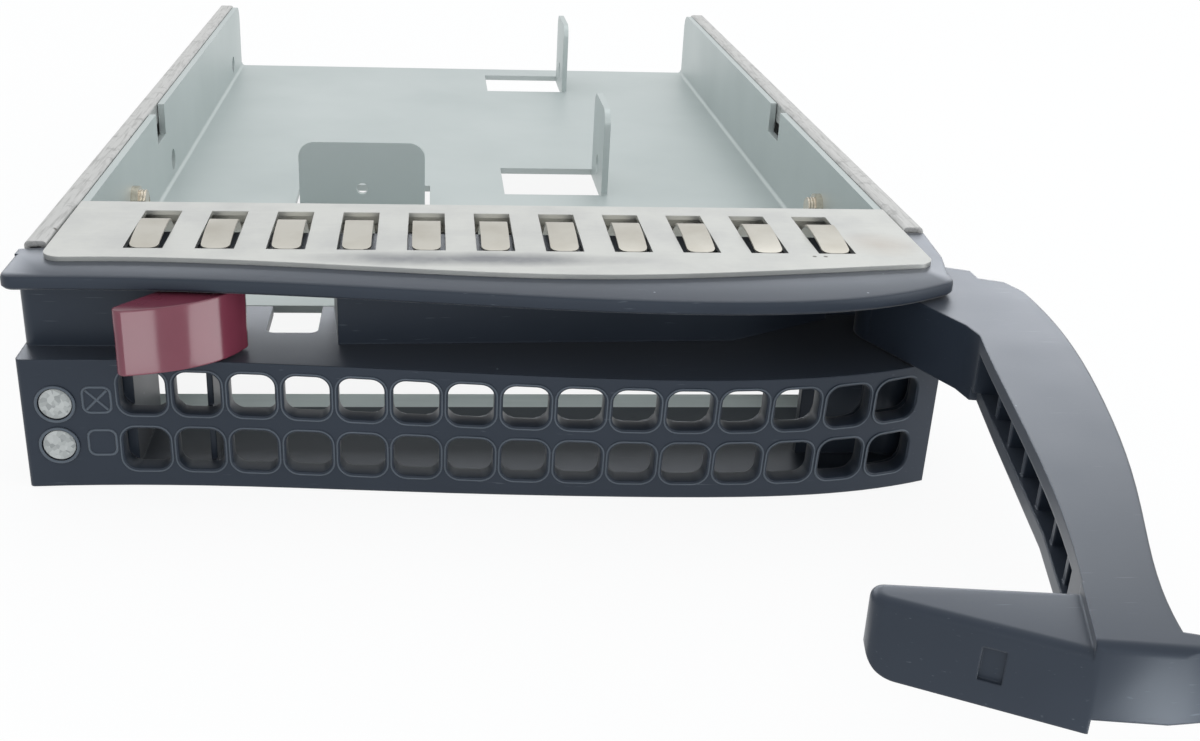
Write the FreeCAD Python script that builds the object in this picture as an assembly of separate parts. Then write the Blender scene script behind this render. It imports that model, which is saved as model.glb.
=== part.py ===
import FreeCAD, Part
import math
import os

V = FreeCAD.Vector
X = V(1, 0, 0)
Y = V(0, 1, 0)
Z = V(0, 0, 1)

# Frame: X to the right, Y to the back, Z up, in mm.
# The origin lies on the centre line, in the base plane, at the back of the bezel.

# whole tray
tray_width = 107.0
tray_height = 26.0
adapter_length = 150.0

# sheet and wall thicknesses
cover_sheet = 0.6
plate_sheet = 0.8
rail_sheet = 0.7
floor_sheet = 1.0
finger_sheet = 0.25
lip_thick = 1.6
front_wall = 2.6
block_wall = 1.6
recess_wall = 1.8

# gaps and setbacks
moving_gap = 0.3
running_gap = 0.05
seat_gap = 0.3
rail_gap = 2.7
cover_margin = 0.3
left_setback = 0.5
right_setback = 2.2
lip_over = 0.3
lip_corner = 1.6
lip_round = 0.45
lip_under = 0.3
shelf_depth = 10.2
shelf_drop = 0.8

# bezel
block_top = 15.7
floor_drop = 3.4
face_end_y = -16.8
face_right_y = -16.2
recess_y = -12.8
pocket_inset = 21.6
pocket_width = 13.4
plate_front = -11.0
plate_back = 6.8
ear_height = 10.0
floor_skin = 0.6
floor_end = -4.0
roof_skin = 1.2
pocket_lean = 1.2
shield_screw_r = 1.2
shield_screw_rise = 4.5
screw_boss_y = -5.5

# perforated front
hole_pitch = 6.1
row_pitch = 7.0
hole_size = 5.5
hole_corner = 1.8
corner_steps = 3
hole_left = 13.45
hole_right = 5.45
hole_drop = 4.0

# light pipes
pipe_inset = 3.8
pipe_drop = 1.0
pipe_pitch = 5.1
pipe_r = 1.8
pipe_ring = 0.35
pipe_ring_depth = 0.6
rod_side = 1.4
rod_drop = 0.5
clip_margin = 1.6
clip_length = 6.0
clip_from_back = 59.0

# rails
hem_width = 2.6
hem_drop = 3.4
rail_foot = 6.0
rail_short = 1.0
rail_corner = 3.0
left_rail_front = -6.5
right_rail_front = 1.6

# adapter plate, sized for a 2.5-inch drive held by its side screws
wall_drop = 0.4
wall_start = 1.2
bend_r = 1.6
side_screw_spacing = 76.6
side_screw_height = 3.0
side_screw_from_back = 14.5
drive_hole_r = 1.7
access_hole_r = 4.0
tab_x = 20.5
tab_width = 15.0
tab_height = 13.9
tab_corner = 2.5
stop_from_screw = 14.5
stop_x = -18.2
stop_width = 19.6
stop_height = 10.0
notch_width = 7.0
notch_depth = 4.8
left_notch = 8.4
right_notch = 0.9

# fastening of the rails to the adapter
screw_from_front = 26.0
screw_rise = 5.9
screw_r = 1.5
screw_head_r = 3.3
nut_r = 2.1
nut_thick = 1.0
thread_end = 1.0
dimple_r = 4.2

# cover windows and fingers
window_pitch = 7.97
window_width = 4.4
window_front = -8.7
window_length = 14.2
window_edge = 9.0
cover_back = 9.0
cover_flange = 3.0
finger_width = 3.8
finger_rise = 0.8
finger_crest = 8.4
finger_tip = 0.2
finger_tip_drop = 0.25
finger_corner = 1.2
finger_drop = 1.8
strip_from_back = 4.2

# lever, drawn closed and then turned open about its pivot
open_angle = 80.0
pivot_inset = 3.4
pivot_y = -8.5
lever_pin_r = 1.5
lever_hub_r = 5.0
hook_gap = 1.0
hook_step = 0.8
hook_round = 2.3
hook_soft = 0.8
hook_front_r = 1.4
hook_back_r = 1.1
facet_rise = 1.2
flange = 1.5
flange_set = 0.8
groove_depth = 3.4
groove_width = 5.4
groove_rib = 0.9
rib_set = 1.3

# release button
button_inset = 1.9
button_y = -13.3
button_pin_r = 0.8
button_eye_r = 1.5
button_round = 0.9

rail_out = tray_width / 2
wall_out = rail_out - rail_gap
wall_in = wall_out - floor_sheet
cover_half = wall_out - cover_margin
face_left = left_setback - rail_out
face_right = rail_out - right_setback
lip_left = -rail_out - lip_over
lip_right = face_right + lip_over
hem_in = rail_out - hem_width
lip_top = tray_height - cover_sheet
lip_low = lip_top - lip_thick
lever_low = block_top + moving_gap
lever_top = lip_low - moving_gap
floor_top = block_top - floor_drop
floor_low = floor_top - floor_sheet
wall_top = tray_height - wall_drop
pocket_left = face_left + pocket_inset
pocket_right = pocket_left + pocket_width
pipe_x = face_left + pipe_inset
pipe_zs = (floor_low - pipe_drop, floor_low - pipe_drop - pipe_pitch)
adapter_front = cover_back
adapter_back = adapter_front + adapter_length
rail_back = adapter_back - rail_short
tab_ys = (adapter_back - side_screw_from_back - side_screw_spacing,
          adapter_back - side_screw_from_back)
stop_y = tab_ys[0] - stop_from_screw
side_screw_z = floor_top + side_screw_height
screw_y = adapter_front + screw_from_front
screw_z = floor_top + screw_rise
screw_seat = rail_out - screw_head_r + screw_r
pivot_x = lip_right - pivot_inset
end_wall = face_left + hole_left - 1.5
boss_x = end_wall - 1.2 - shield_screw_r - 0.5
shield_spots = ((boss_x, screw_boss_y), (pivot_x, pivot_y))
button_x = pocket_left + button_inset
window_back = window_front + window_length

# front line of the lip, of the perforated face at its top and foot, and of the cover
lip_line = [(lip_left + lip_corner, face_end_y), (-36.0, -17.0), (-8.6, -20.0), (12.0, -22.6),
            (25.0, -23.2), (38.0, -21.9), (lip_right - lip_corner, face_right_y - 0.8)]
face_line = [(face_left, face_end_y), (-36.0, -16.9), (-8.6, -19.5), (12.0, -21.6),
             (25.0, -22.0), (38.0, -20.7), (face_right, face_right_y)]
face_low_line = [(face_left, face_end_y), (-36.0, -16.6), (-8.6, -18.5), (12.0, -19.7),
                 (25.0, -20.0), (38.0, -19.3), (face_right, face_right_y + 0.2)]
cover_line = [(-cover_half, -12.0), (-22.0, -13.2), (-2.0, -15.7), (11.0, -16.4),
              (29.3, -14.9), (cover_half, -11.8)]


def box(x0, x1, y0, y1, z0, z1):
    return Part.makeBox(x1 - x0, y1 - y0, z1 - z0, V(x0, y0, z0))


def post(x, y, z0, z1, r):
    return Part.makeCylinder(r, z1 - z0, V(x, y, z0))


def bar_y(x, z, y0, y1, r):
    return Part.makeCylinder(r, y1 - y0, V(x, y0, z), Y)


def bar_x(y, z, x0, x1, r):
    return Part.makeCylinder(r, x1 - x0, V(x0, y, z), X)


def spline(points, z):
    curve = Part.BSplineCurve()
    curve.interpolate([V(x, y, z) for x, y in points])
    return curve.toShape()


def lines(points, z):
    corners = [V(x, y, z) for x, y in points]
    return [Part.makeLine(a, b) for a, b in zip(corners, corners[1:])]


def extrude(edges, height):
    return Part.Face(Part.Wire(edges)).extrude(V(0, 0, height))


def prism(points, z0, z1):
    return extrude(lines(points + points[:1], z0), z1 - z0)


def outline(front, back_y, z):
    left = front[0]
    right = front[-1]
    rest = [right, (right[0], back_y), (left[0], back_y), left]
    return [spline(front, z)] + lines(rest, z)


def slab(front, back_y, z0, z1):
    return extrude(outline(front, back_y, z0), z1 - z0)


def along(edge, axis):
    d = edge.Vertexes[-1].Point - edge.Vertexes[0].Point
    return d.Length > 1e-6 and abs(abs(d.dot(axis)) - d.Length) < 1e-6


def rounded(solid, r, axis, spots):
    picked = []
    for edge in solid.Edges:
        m = edge.CenterOfMass
        m = m - axis * m.dot(axis)
        near = any((m - (s - axis * s.dot(axis))).Length < 0.05 for s in spots)
        if near and along(edge, axis):
            picked.append(edge)
    return solid.makeFillet(r, picked)


def mirrored(solid):
    return solid.mirror(V(0, 0, 0), X)


def save(name, shape):
    shape.removeSplitter().exportStep("parts/" + name + ".step")


def group(name, solids):
    Part.makeCompound(solids).exportStep("parts/" + name + ".step")


def soft_square(y0, y1):
    h = hole_size / 2 - hole_corner
    points = []
    for quarter, (sx, sz) in enumerate(((1, 1), (-1, 1), (-1, -1), (1, -1))):
        for step in range(corner_steps + 1):
            a = math.radians(90.0 * (quarter + step / corner_steps))
            points.append(V(sx * h + hole_corner * math.cos(a), y0, sz * h + hole_corner * math.sin(a)))
    face = Part.Face(Part.makePolygon(points + points[:1]))
    return face.extrude(V(0, y1 - y0, 0))


def hole_xs():
    span = face_right - hole_right - face_left - hole_left
    return [face_left + hole_left + i * hole_pitch for i in range(round(span / hole_pitch) + 1)]


def hole_zs():
    top = block_top - hole_drop
    rows = 1 + int((top - hole_size / 2 - plate_sheet) / row_pitch)
    return [top - i * row_pitch for i in range(rows)]


def perforations():
    tool = soft_square(lip_line[4][1] - 4.0, face_end_y + front_wall + 0.4)
    return [tool.translated(V(x, 0, z)) for x in hole_xs() for z in hole_zs()]


def bezel_block():
    z0 = plate_sheet + floor_skin
    z1 = block_top - roof_skin
    wires = [Part.Wire(outline(face_low_line, 0.0, 0.0)), Part.Wire(outline(face_line, 0.0, block_top))]
    block = Part.makeLoft(wires, True, True)
    block = rounded(block, 0.6, Z, [V(*face_line[0], 0)])
    middle = [(x, (y + yt) / 2 + front_wall) for (x, y), (xt, yt) in zip(face_low_line, face_line)]
    left = face_left + block_wall
    right = face_right - block_wall
    core = [(left, 1.0), (left, middle[0][1])] + middle[1:-1] + [(right, middle[-1][1]), (right, 1.0)]
    block = block.cut([prism(core, z0, z1), box(left, right, floor_end, 1.0, -1.0, z0 + 0.1)])
    rib = hole_xs()[1] + 0.95
    low = plate_sheet
    high = z1 + 0.3
    ribs = [box(pipe_x - pipe_r - 0.4, pipe_x + pipe_r + 0.4, face_end_y + 2.0, -10.5, low, high),
            box(end_wall - 1.2, end_wall, face_end_y + 2.0, 0.0, low, high),
            box(rib - 0.35, rib + 0.35, face_end_y + 1.5, -7.0, low, high),
            post(boss_x, screw_boss_y, low, low + shield_screw_rise + 1.0, shield_screw_r + 0.7),
            box(pivot_x - 11.4, face_right - 1.0, pivot_y - 2.9, pivot_y - 1.5, low, high),
            post(pivot_x, pivot_y, low, high, lever_pin_r + 1.9)]
    return block.fuse(ribs)


def recess_back():
    z0 = block_top - 0.2
    z1 = lip_low + 0.2
    t = recess_wall
    end = face_left
    left = prism([(end, 0.0), (end, recess_y), (pocket_left, recess_y), (pocket_left, 0.0),
                  (pocket_left - t, 0.0), (pocket_left - t, recess_y + t),
                  (end + t, recess_y + t), (end + t, 0.0)], z0, z1)
    left = rounded(left, 1.4, Z, [V(end, recess_y, 0)])
    bend = pivot_x - 20.2
    corner = pivot_x - 7.2
    side = face_right + 1.1
    front = recess_y + 0.8
    lean = pocket_right - pocket_lean
    middle = prism([(lean, 0.0), (pocket_right, front), (bend, front + 1.6), (corner, -t - 1.4),
                    (corner, -t), (side, -t), (side, 0.0), (corner - t, 0.0), (corner - t, -2.0),
                    (bend - 0.5, front + 1.6 + t), (pocket_right + t, front + t),
                    (lean + t, 0.0)], z0, z1)
    return [left, middle]


def lip_section(z, inset, back):
    left = lip_left + inset
    right = lip_right - inset
    front = [(x, y + inset) for x, y in lip_line]
    (ax, ay), (bx, by) = front[0], front[-1]
    r = lip_corner - inset
    side = (right, by + 1.35 * r)
    start = (left, ay + r)
    turn = [(bx, by), (bx + 0.68 * r, by + 0.54 * r), side]
    close = [start, (left + 0.29 * r, ay + 0.29 * r), (ax, ay)]
    arcs = [Part.Arc(*[V(x, y, z) for x, y in points]).toShape() for points in (turn, close)]
    rest = lines([side, (right, back), (left, back), start], z)
    return Part.Wire([spline(front, z), arcs[0]] + rest + [arcs[1]])


def bezel_lip():
    back = window_front - 0.5
    levels = [(lip_low, lip_under), (lip_low + lip_under, 0.0)]
    for step in range(3):
        a = math.radians(45.0 * step)
        levels.append((lip_top - lip_round * (1 - math.sin(a)), lip_round * (1 - math.cos(a))))
    front = Part.makeLoft([lip_section(z, inset, back) for z, inset in levels], True, True)
    inner_left = 5.5 - cover_half
    inner_right = cover_half - 6.5
    jog = left_rail_front - 0.5
    hem = seat_gap - hem_in
    left = prism([(lip_left, back - 0.2), (inner_left, back - 0.2), (inner_left, 0.0), (hem, 0.0),
                  (hem, jog), (lip_left, jog - 0.6)], lip_low, lip_top)
    tail = right_rail_front - 0.4
    edge = lip_right - lip_round
    right = prism([(inner_right, back - 0.2), (edge - 2.2, back - 5.3), (edge, back - 5.3),
                   (lip_right + 1.0, back + 1.2), (rail_out - 0.1, tail), (inner_right, tail)],
                  lip_low, lip_top)
    shelf = box(inner_left - 0.2, inner_right + 0.2, back - 0.2, window_front + shelf_depth,
                lip_low, lip_top - shelf_drop)
    return front.fuse([left, right, shelf])


def bezel_housing():
    body = bezel_lip().fuse(recess_back())
    body = body.fuse(bezel_block())
    cuts = perforations()
    for z in pipe_zs:
        cuts.append(bar_y(pipe_x, z, face_end_y - 5.0, -8.0, pipe_r))
        cuts.append(bar_y(pipe_x, z, face_end_y - 5.0, face_end_y + pipe_ring_depth, pipe_r + pipe_ring))
    rail_side = box(lip_left - 5.0, seat_gap - hem_in, left_rail_front - 0.4, 5.0, -1.0, lip_low)
    cuts.append(rail_side)
    cuts.append(box(lip_left - 5.0, lip_right + 5.0, plate_front, 5.0, -1.0, plate_sheet))
    x0 = pocket_left + 4.8
    x1 = pocket_right - 2.6
    front = recess_y + 4.3
    opening = box(x0, x1, front, 5.0, block_top - 3.0, block_top + 0.1)
    cuts.append(rounded(opening, 1.0, Z, [V(x0, front, 0), V(x1, front, 0)]))
    cuts.append(lever_pin())
    cuts.append(button_pin())
    for x, y in shield_spots:
        cuts.append(post(x, y, plate_sheet - 0.1, plate_sheet + shield_screw_rise, shield_screw_r))
    return body.cut(Part.makeCompound(cuts))


def screw_head(x, y):
    return Part.makeCone(shield_screw_r + 0.8, shield_screw_r, plate_sheet, V(x, y, 0.0))


def shield_screws():
    made = []
    for x, y in shield_spots:
        shank = post(x, y, plate_sheet / 2, plate_sheet + shield_screw_rise, shield_screw_r)
        made.append(screw_head(x, y).fuse(shank).removeSplitter())
    return made


def lower_shield_plate():
    inner = rail_out - rail_sheet
    t = plate_sheet
    left_start = left_rail_front + 0.6
    right_start = right_rail_front + 0.4
    plate = box(-inner, inner, plate_front, plate_back, 0.0, t)
    plate = plate.cut(box(-inner - 5.0, t - inner, plate_front - 1, left_start, -1, t + 1))
    plate = plate.cut(box(inner - t - 1.2, inner + 5.0, plate_front - 1, right_start, -1, t + 1))
    left = box(-inner, t - inner, left_start, plate_back, 0.0, ear_height)
    right = box(inner - t, inner, right_start, plate_back, 0.0, ear_height)
    plate = plate.fuse([left, right])
    for x, y in shield_spots:
        plate = plate.cut(screw_head(x, y))
    return plate


def countersink():
    return Part.makeCone(screw_r, screw_head_r, screw_head_r - screw_r, V(screw_seat, screw_y, screw_z), X)


def side_rail(front, side):
    out = rail_out
    t = rail_sheet
    body = box(out - t, out, front, rail_back, 0.0, tray_height)
    cap = box(hem_in, out, front, rail_back, tray_height - t, tray_height)
    leg = box(hem_in, hem_in + t, front, rail_back, tray_height - hem_drop, tray_height)
    foot = box(out - rail_foot, out, plate_back + 0.6, rail_back, 0.0, t)
    body = body.fuse([cap, leg, foot]).removeSplitter()
    body = rounded(body, 0.6, Y, [V(out, 0, tray_height), V(hem_in, 0, tray_height)])
    r = rail_corner
    trim = box(hem_in - 1, out + 1, rail_back - r, rail_back + 1, tray_height - r, tray_height + 1)
    trim = trim.cut(bar_x(rail_back - r, tray_height - r, hem_in - 2, out + 2, r))
    body = body.cut(trim)
    dimple = Part.makeCone(dimple_r - 1.6, dimple_r, rail_gap - 0.1, V(wall_out, screw_y, screw_z), X)
    body = body.fuse(dimple)
    shank = bar_x(screw_y, screw_z, wall_out - 1.0, screw_seat + 0.1, screw_r)
    body = body.cut(countersink().fuse(shank))
    if side < 0:
        for y in tab_ys:
            body = body.cut(bar_x(y, side_screw_z, out - rail_sheet - 1, out + 1, access_hole_r))
        body = mirrored(body)
    return body


def upright_tab(width, height):
    tab = box(0.0, floor_sheet, -width / 2, width / 2, floor_low, floor_top + height)
    tops = [V(0, s * width / 2, floor_top + height) for s in (-1, 1)]
    return rounded(tab, tab_corner, X, tops)


def wall_notch(side, y):
    x = side * (wall_out - floor_sheet / 2)
    half = notch_width / 2
    return box(x - floor_sheet, x + floor_sheet, y - half, y + half, wall_top - notch_depth, wall_top + 1)


def adapter_plate():
    y0 = adapter_front
    y1 = adapter_back
    w = wall_out + 5.0
    body = box(-wall_out, wall_out, y0, y1, floor_low, wall_top)
    body = rounded(body, bend_r, Y, [V(s * wall_out, 0, floor_low) for s in (-1, 1)])
    inside = box(-wall_in, wall_in, y0 - 1, y1 + 1, floor_top, wall_top + 1)
    bend_in = bend_r - floor_sheet
    inside = rounded(inside, bend_in, Y, [V(s * wall_in, 0, floor_top) for s in (-1, 1)])
    body = body.cut(inside)
    low = floor_top + bend_in
    body = body.cut(box(-w, w, y0 - 1, y0 + wall_start, low, wall_top + 1))
    r = rail_corner
    ends = box(-w, w, rail_back - r, rail_back + 1, wall_top - r, wall_top + 1)
    ends = ends.cut(bar_x(rail_back - r, wall_top - r, -w - 1, w + 1, r))
    body = body.cut(ends).cut(box(-w, w, rail_back, y1 + 1, low, wall_top + 1))
    for y in tab_ys:
        half = tab_width / 2
        slot = box(tab_x - tab_height - 2.0, tab_x, y - half - 0.4, y + half + 0.4, 0, floor_top + 1)
        body = body.cut(slot).fuse(upright_tab(tab_width, tab_height).translated(V(tab_x, y, 0)))
        body = body.cut(bar_x(y, side_screw_z, tab_x - 1, tab_x + floor_sheet + 1, drive_hole_r))
        body = body.cut(bar_x(y, side_screw_z, -wall_out - 1, 1 - wall_in, drive_hole_r))
    stop = upright_tab(stop_width, stop_height)
    stop.rotate(V(0, 0, 0), Z, 90)
    half = stop_width / 2 + 0.8
    slot = box(stop_x - half, stop_x + half, stop_y, stop_y + stop_height + 1.0, 0, floor_top + 1)
    body = body.cut(slot).fuse(stop.translated(V(stop_x, stop_y, 0)))
    body = body.cut(bar_y(stop_x, floor_top + 2.6, stop_y - floor_sheet - 1, stop_y + 1, 0.9))
    body = body.cut(wall_notch(1, tab_ys[0] - right_notch))
    body = body.cut(wall_notch(-1, tab_ys[0] - left_notch))
    for side in (-1, 1):
        x = side * wall_out
        body = body.cut(bar_x(screw_y, screw_z, x - 2 * floor_sheet, x + 2 * floor_sheet, screw_r))
    return body


def adapter_screws():
    tip = wall_in - nut_thick - thread_end
    screw = countersink().fuse(bar_x(screw_y, screw_z, tip, screw_seat + 0.2, screw_r))
    arm = screw_r + 0.3
    slot = 0.35
    for a, b in ((arm, slot), (slot, arm)):
        screw = screw.cut(box(rail_out - 1.0, rail_out + 1, screw_y - a, screw_y + a, screw_z - b, screw_z + b))
    screw = screw.removeSplitter()
    return [screw, mirrored(screw)]


def clinch_nuts():
    nut = bar_x(screw_y, screw_z, wall_in - nut_thick, wall_in, nut_r)
    nut = nut.cut(bar_x(screw_y, screw_z, wall_in - nut_thick - 1, wall_in + 1, screw_r))
    return [nut, mirrored(nut)]


def window_xs():
    gaps = int(2 * (cover_half - window_edge) / window_pitch)
    return [(i - gaps / 2) * window_pitch for i in range(gaps + 1)]


def upper_shield_cover():
    plate = slab(cover_line, cover_back, lip_top, tray_height)
    plate = rounded(plate, 2.2, Z, [V(*cover_line[0], 0), V(*cover_line[-1], 0)])
    half = cover_half - 1.5
    flange_y = cover_back - cover_sheet
    plate = plate.fuse(box(-half, half, flange_y, cover_back, lip_top - cover_flange, tray_height))
    h = window_width / 2
    cuts = [box(x - h, x + h, window_front, window_back, lip_top - 1, tray_height + 1) for x in window_xs()]
    return plate.cut(Part.makeCompound(cuts))


def arch(x, y, top, r, a0, a1):
    def at(a):
        return V(x, y + r * math.sin(a), top - r + r * math.cos(a))
    return Part.Arc(at(a0), at((a0 + a1) / 2), at(a1)).toShape()


def finger_plan(x, y0, y1):
    half = finger_width / 2
    r = finger_corner
    points = [(x + half, y1), (x - half, y1)]
    for sign in (-1, 1):
        for step in range(corner_steps):
            a = math.radians(90.0 * step / (corner_steps - 1))
            if sign > 0:
                a = math.pi / 2 - a
            points.append((x + sign * (half - r + r * math.cos(a)), y0 + r - r * math.sin(a)))
    return prism(points, lip_top - finger_drop - 2.0, tray_height + finger_rise + 1.0)


def finger(x):
    left = x - finger_width / 2
    y = window_front + finger_crest
    top = tray_height + finger_rise
    tip_y = window_front + finger_tip
    root_y = cover_back - strip_from_back
    root_z = lip_top - finger_drop
    t = finger_sheet
    run = tip_y - y
    fall = finger_rise + finger_tip_drop
    r = (run * run + fall * fall) / (2 * fall)
    a = math.atan2(run, r - fall)
    rise = arch(left, y, top, r, a, 0.0)
    under = arch(left, y, top - t, r - t, 0.0, a)
    knee_y = y + 0.55 * (root_y - y)
    knee_z = top - 0.3 * (top - root_z)
    leg = [(y, top), (knee_y, knee_z), (root_y, root_z), (root_y, root_z - t), (root_y - t, root_z - t),
           (root_y - t, root_z), (knee_y - 0.6 * t, knee_z - 0.8 * t), (y, top - t)]
    points = [V(left, py, pz) for py, pz in leg]
    runs = [Part.makeLine(p, q) for p, q in zip(points, points[1:])]
    end = Part.makeLine(under.Vertexes[-1].Point, rise.Vertexes[0].Point)
    face = Part.Face(Part.Wire([rise] + runs + [under, end]))
    return face.extrude(V(finger_width, 0, 0)).common(finger_plan(x, tip_y, cover_back))


def spring_finger_strip():
    xs = window_xs()
    edge = window_width / 2 + 1.8
    left = xs[0] - edge
    right = xs[-1] + edge
    t = finger_sheet
    top = lip_top - finger_drop
    front = cover_back - strip_from_back - t
    back = cover_back - cover_sheet
    strip = box(left, right, front, back, top - t, top)
    leg = box(left, right, back - t, back, lip_top - cover_flange, top)
    return strip.fuse([leg] + [finger(x) for x in xs])


def arm_line():
    return [(pocket_right - hook_gap, recess_y + 0.2), (-1.3, -13.8), (19.9, -13.8),
            (pivot_x - 18.4, pivot_y - 5.4)]


def arm_edge(x):
    line = arm_line()
    for (xa, ya), (xb, yb) in zip(line, line[1:]):
        if xa <= x <= xb:
            return ya + (yb - ya) * (x - xa) / (xb - xa)
    return line[-1][1]


def lever_profile():
    h = pocket_right
    p = pivot_x
    q = pivot_y
    outer = [(p - 3.5, q - 12.9), (35.0, -22.8), (15.4, -22.8), (-0.1, -21.3), (-8.6, -19.9),
             (h - 4.5, -18.0), (h - 6.8, -18.0)]
    flare = [outer[-1], (h - 7.2, -20.8), (h - 8.2, -20.9), (h - 9.1, -17.6), (h - 9.3, -12.1), (h - 4.4, 2.9)]
    tip = [flare[-1], (h - 2.0, 2.9)]
    inner = [tip[-1], arm_line()[0]]
    root = [arm_line()[-1], (p - 15.6, q - 4.4), (p - 3.4, q + 3.7), (p + 4.9, q + 0.9), (p + 3.7, q - 4.2),
            (p + 2.7, q - 8.0), (p + 0.1, q - 8.5), (p - 0.6, q - 11.3), outer[0]]
    return outer, flare, tip, inner, root


def lever():
    outer, flare, tip, inner, root = lever_profile()
    z = lever_low
    edges = [spline(outer, z)] + lines(flare, z) + lines(tip, z) + lines(inner, z)
    edges += [spline(arm_line(), z)] + lines(root, z)
    body = extrude(edges, lever_top - lever_low)
    body = rounded(body, hook_front_r, Z, [V(*tip[0], 0)])
    body = rounded(body, hook_back_r, Z, [V(*tip[1], 0)])
    body = body.fuse(post(pivot_x, pivot_y, lever_low, lever_top, lever_hub_r))
    h = pocket_right
    step = prism([(h - 1.5, 4.1), (h + 1.5, -12.8), (h - 11.0, -11.4), (h - 13.3, 2.0)],
                 lever_top - hook_step, lever_top + 1)
    notch = box(-0.85, 0.85, -2.0, 0.8, lever_low + 2.1, lever_low + 4.9)
    notch.rotate(V(0, 0, 0), Z, -108.0)
    bore = post(pivot_x, pivot_y, lever_low - 1, lever_top + 1, lever_pin_r + running_gap)
    raised = prism([(h - 12.0, -12.3), (h - 12.0, -24.0), (h - 6.0, -24.0), (h - 6.0, -12.3)],
                   lever_low - 1, lever_low + facet_rise)
    cuts = [step, notch.translated(V(h - 7.6, -5.4, 0)), bore, lower_set(), rib_slot(), raised, tip_corner()]
    body = body.cut(cuts + groove_cells())
    body = soft_hook(body)
    body.rotate(V(pivot_x, pivot_y, 0), Z, open_angle)
    return body


def tip_corner():
    r = hook_round
    square = box(-r, r, -8.0, 8.0, lever_low - r, lever_low + r)
    square = square.cut(bar_y(-r, lever_low + r, -9.0, 9.0, r))
    square.rotate(V(0, 0, 0), Z, 90)
    return square.translated(V(*lever_profile()[2][0], 0))


def soft_hook(body):
    (xa, ya), (xb, yb) = lever_profile()[1][-3:-1]
    middle = V((xa + xb) / 2, (ya + yb) / 2, lever_top)
    rim = lever_top - hook_step
    picked = []
    for edge in body.Edges:
        m = edge.CenterOfMass
        level = all(abs(v.Z - rim) < 1e-6 for v in edge.Vertexes)
        if level and abs(m.z - rim) < 1e-6 and m.y > recess_y + 1.5:
            picked.append(edge)
        if (m - middle).Length < 0.3:
            picked.append(edge)
    return body.makeFillet(hook_soft, picked)


def groove_span():
    pitch = groove_width + groove_rib
    start = pocket_right + 3.0
    return start, pitch, int((arm_line()[-1][0] - start) / pitch)


def rib_slot():
    start, pitch, count = groove_span()
    end = start + count * pitch - groove_rib
    xs = [start] + [x for x, y in arm_line() if start < x < end] + [end]
    inner = [(x, arm_edge(x) - rib_set) for x in xs]
    outer = [(end, recess_y + 2.0), (start, recess_y + 2.0)]
    return prism(inner + outer, lever_low + flange, lever_top - flange)


def groove_cells():
    start, pitch, count = groove_span()
    cells = []
    for i in range(count):
        x0 = start + i * pitch
        x1 = x0 + groove_width
        y0 = arm_edge(x0)
        y1 = arm_edge(x1)
        shape = [(x0, y0 + 2.0), (x0, y0 - groove_depth), (x1, y1 - groove_depth), (x1, y1 + 2.0)]
        cells.append(prism(shape, lever_low + flange, lever_top - flange))
    return cells


def lower_set():
    line = arm_line()
    x0 = pocket_right + 1.2
    edge = [(x0, arm_edge(x0) - flange_set)] + [(x, y - flange_set) for x, y in line[1:]]
    return prism(edge + [(line[-1][0], recess_y + 2.0), (x0, recess_y + 2.0)], lever_low - 1, lever_low + flange)


def lever_pin():
    return post(pivot_x, pivot_y, block_top - 6.0, lip_top, lever_pin_r)


def button_pin():
    return post(button_x, button_y, block_top - 1.5, lip_top - 0.6, button_pin_r)


def release_button():
    bx = button_x
    by = button_y
    front = [(bx - 12.75, by - 9.05), (bx - 8.7, by - 8.2), (bx - 4.5, by - 6.7), (bx - 1.1, by - 4.3),
             (bx + 1.1, by - 1.1)]
    rest = [front[-1], (bx + 1.5, by), (bx, by + 1.5), (bx - 2.5, by - 0.7), (bx - 6.9, by - 1.6), front[0]]
    body = extrude([spline(front, lever_low)] + lines(rest, lever_low), lever_top - lever_low)
    body = rounded(body, button_round, Z, [V(*front[0], 0)])
    body = body.fuse(post(bx, by, lever_low, lever_top, button_eye_r))
    return body.cut(post(bx, by, lever_low - 1, lever_top + 1, button_pin_r + running_gap))


def rod(z, y0, y1):
    half = rod_side / 2
    mid = z - rod_drop
    return box(pipe_x - half, pipe_x + half, y0, y1, mid - half, mid + half)


def light_pipe(z):
    lens_end = face_end_y + 7.3
    lens = bar_y(pipe_x, z, face_end_y + 0.2, lens_end, pipe_r)
    return lens.fuse(rod(z, lens_end - 0.2, rail_back - 1.0))


def light_pipe_clip():
    half = rod_side / 2 + clip_margin
    y0 = adapter_back - clip_from_back
    clip = box(pipe_x - half, pipe_x + half, y0, y0 + clip_length, pipe_zs[1] - rod_drop - half, floor_low)
    for z in pipe_zs:
        clip = clip.cut(rod(z, y0 - 1, y0 + clip_length + 1))
    return clip


os.makedirs("parts", exist_ok=True)
save("bezel_housing", bezel_housing())
save("upper_shield_cover", upper_shield_cover())
save("spring_finger_strip", spring_finger_strip())
save("lower_shield_plate", lower_shield_plate())
save("left_side_rail", side_rail(left_rail_front, -1))
save("right_side_rail", side_rail(right_rail_front, 1))
save("adapter_plate", adapter_plate())
group("adapter_screws", adapter_screws())
group("clinch_nuts", clinch_nuts())
group("shield_screws", shield_screws())
save("lever", lever())
save("lever_pivot_pin", lever_pin())
save("release_button", release_button())
save("button_pivot_pin", button_pin())
save("upper_light_pipe", light_pipe(pipe_zs[0]))
save("lower_light_pipe", light_pipe(pipe_zs[1]))
save("light_pipe_clip", light_pipe_clip())
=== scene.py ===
import bpy, bmesh, math
from mathutils import Matrix, Vector
from mathutils.geometry import interpolate_bezier


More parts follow.
